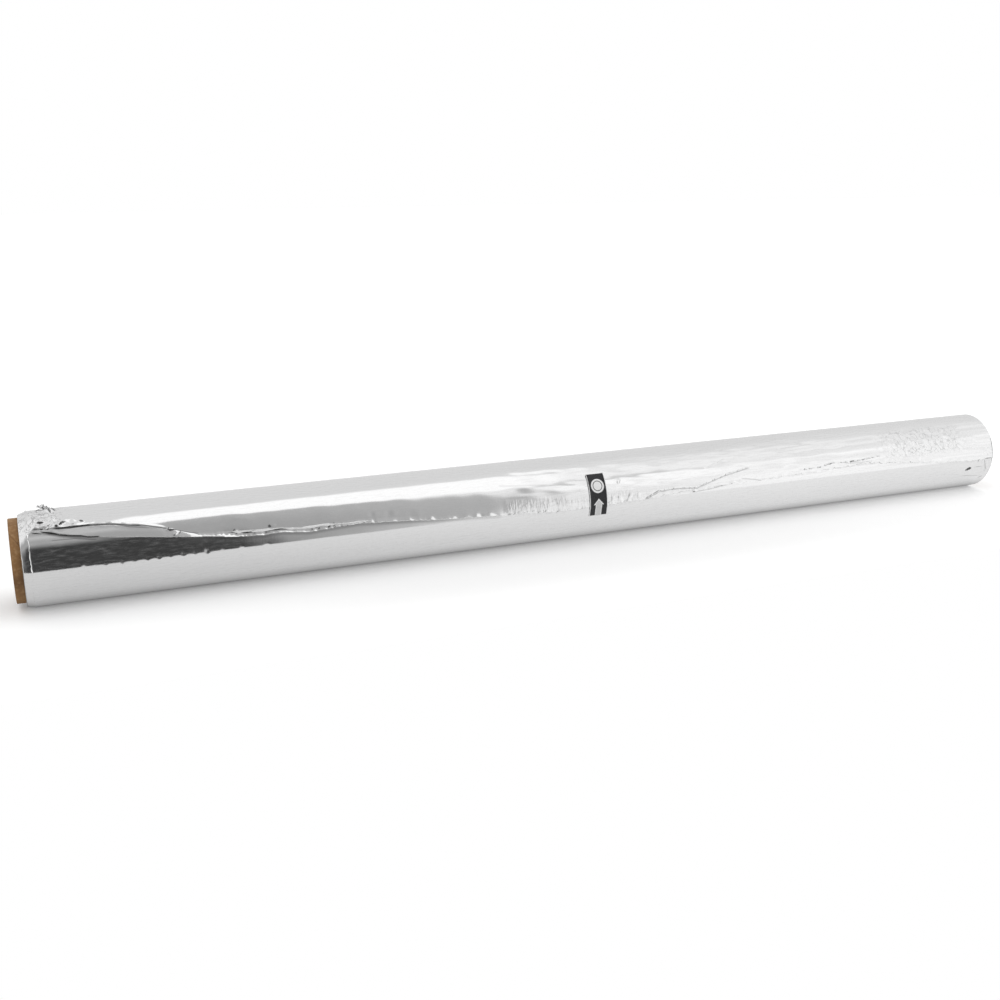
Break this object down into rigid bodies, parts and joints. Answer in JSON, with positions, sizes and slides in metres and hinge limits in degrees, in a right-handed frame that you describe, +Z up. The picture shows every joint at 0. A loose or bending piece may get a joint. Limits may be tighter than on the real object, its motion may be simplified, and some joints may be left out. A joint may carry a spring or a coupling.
{
  "type": "aluminium foil roll",
  "caption": "Roll of kitchen aluminium foil wound on a brown paper core, its creased free end held down by a small black adhesive tab.",
  "frame": {"origin": "on the floor under the middle of the roll's overall length, core included", "axes": "+X along the roll, away from the end where the core stands out; +Z up; the free end and the tab face -Y"},
  "size_m": [0.4536, 0.0365, 0.0364],
  "materials": {
    "kraft_paper": "matt brown spiral-wound paper tube",
    "foil": "bright rolled foil with fine rolling lines, wrinkled at the free end",
    "tab_film": "printed black film with a pale cut edge, satin"
  },
  "bodies": {
    "root": {"core_tube": "kraft_paper", "foil_roll": "foil", "start_tab": "tab_film"}
  },
  "joints": []
}
